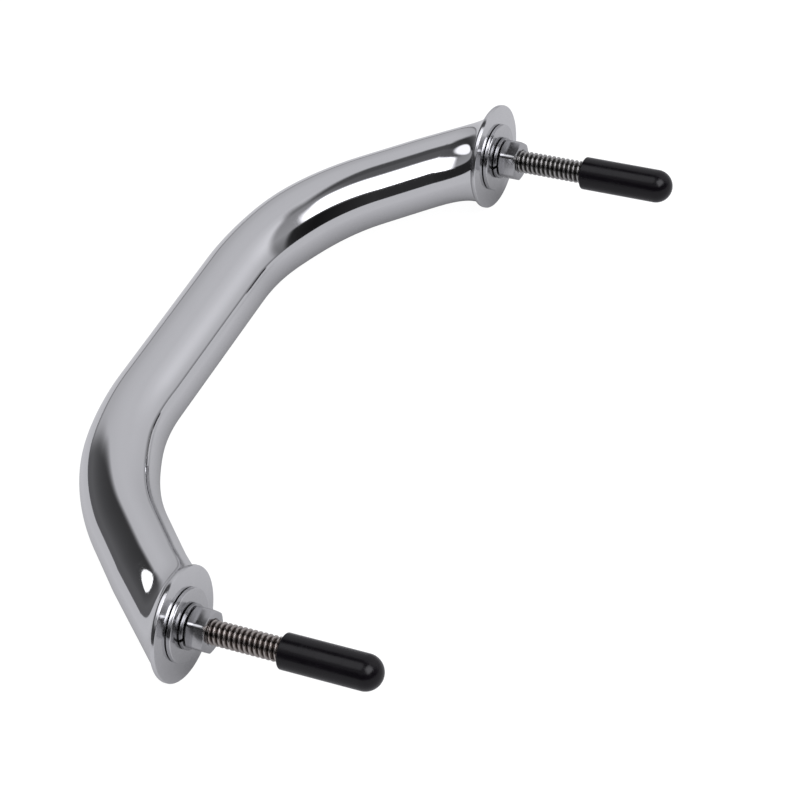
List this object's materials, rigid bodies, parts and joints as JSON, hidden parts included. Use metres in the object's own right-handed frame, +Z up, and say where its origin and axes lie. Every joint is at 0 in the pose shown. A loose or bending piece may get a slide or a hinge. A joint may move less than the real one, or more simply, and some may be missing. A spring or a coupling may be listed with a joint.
{
  "type": "grab rail",
  "caption": "Bent tube grab rail on two round welded flanges, with threaded studs that pass through a bulkhead and take a washer, spring washer, nut and thread cap.",
  "frame": {"origin": "midway between the two stud axes, on the mounting plane that the flanges bear on", "axes": "+X along the rail, +Y from the flanges into the bulkhead along the studs, +Z up with the rail horizontal; the bar stands off towards -Y"},
  "size_m": [0.2804, 0.1404, 0.0374],
  "materials": {
    "polished_tube": "mirror polished stainless steel",
    "polished_flange": "mirror polished stainless steel",
    "polished_weld": "weld ground and polished flush",
    "raw_weld": "weld bead left as laid, inside the tube",
    "threaded_steel": "rolled thread, slightly oily",
    "washer_steel": "bright stamped stainless steel",
    "spring_washer_steel": "satin stainless spring steel",
    "nut_steel": "bright turned and chamfered stainless steel",
    "black_vinyl": "satin dipped vinyl"
  },
  "bodies": {
    "root": {"rail_tube": "polished_tube", "left_flange": "polished_flange", "left_weld_fillet": "polished_weld", "left_stud_weld": "raw_weld", "left_stud": "threaded_steel", "right_flange": "polished_flange", "right_weld_fillet": "polished_weld", "right_stud_weld": "raw_weld", "right_stud": "threaded_steel"},
    "left_flat_washer": {"left_flat_washer": "washer_steel"},
    "left_spring_washer": {"left_spring_washer": "spring_washer_steel"},
    "left_nut": {"left_nut": "nut_steel"},
    "left_thread_cap": {"left_thread_cap": "black_vinyl"},
    "right_flat_washer": {"right_flat_washer": "washer_steel"},
    "right_spring_washer": {"right_spring_washer": "spring_washer_steel"},
    "right_nut": {"right_nut": "nut_steel"},
    "right_thread_cap": {"right_thread_cap": "black_vinyl"}
  },
  "joints": [
    {"name": "left_nut_travel", "type": "slide", "parent": "root", "child": "left_spring_washer", "axis": [0, 1, 0], "range_m": [0, 0.0237]},
    {"name": "left_nut_turn", "type": "hinge", "parent": "left_spring_washer", "child": "left_nut", "pos_m": [-0.1215, 0.00685, 0], "axis": [0, 1, 0], "range_deg": [0, 4860]},
    {"name": "left_flat_washer_slide", "type": "slide", "parent": "root", "child": "left_flat_washer", "axis": [0, 1, 0], "range_m": [0, 0.012]},
    {"name": "left_cap_pull", "type": "slide", "parent": "root", "child": "left_thread_cap", "axis": [0, 1, 0], "range_m": [0, 0.03]},
    {"name": "right_nut_travel", "type": "slide", "parent": "root", "child": "right_spring_washer", "axis": [0, 1, 0], "range_m": [0, 0.0237]},
    {"name": "right_nut_turn", "type": "hinge", "parent": "right_spring_washer", "child": "right_nut", "pos_m": [0.1215, 0.00685, 0], "axis": [0, 1, 0], "range_deg": [0, 4860]},
    {"name": "right_flat_washer_slide", "type": "slide", "parent": "root", "child": "right_flat_washer", "axis": [0, 1, 0], "range_m": [0, 0.012]},
    {"name": "right_cap_pull", "type": "slide", "parent": "root", "child": "right_thread_cap", "axis": [0, 1, 0], "range_m": [0, 0.03]}
  ],
  "couplings": [
    {"joint": "left_nut_travel", "follows": "left_nut_turn", "m_per_rad": 0.00027852},
    {"joint": "left_flat_washer_slide", "follows": "left_nut_turn", "m_per_rad": 0.00013926},
    {"joint": "right_nut_travel", "follows": "right_nut_turn", "m_per_rad": 0.00027852},
    {"joint": "right_flat_washer_slide", "follows": "right_nut_turn", "m_per_rad": 0.00013926}
  ]
}
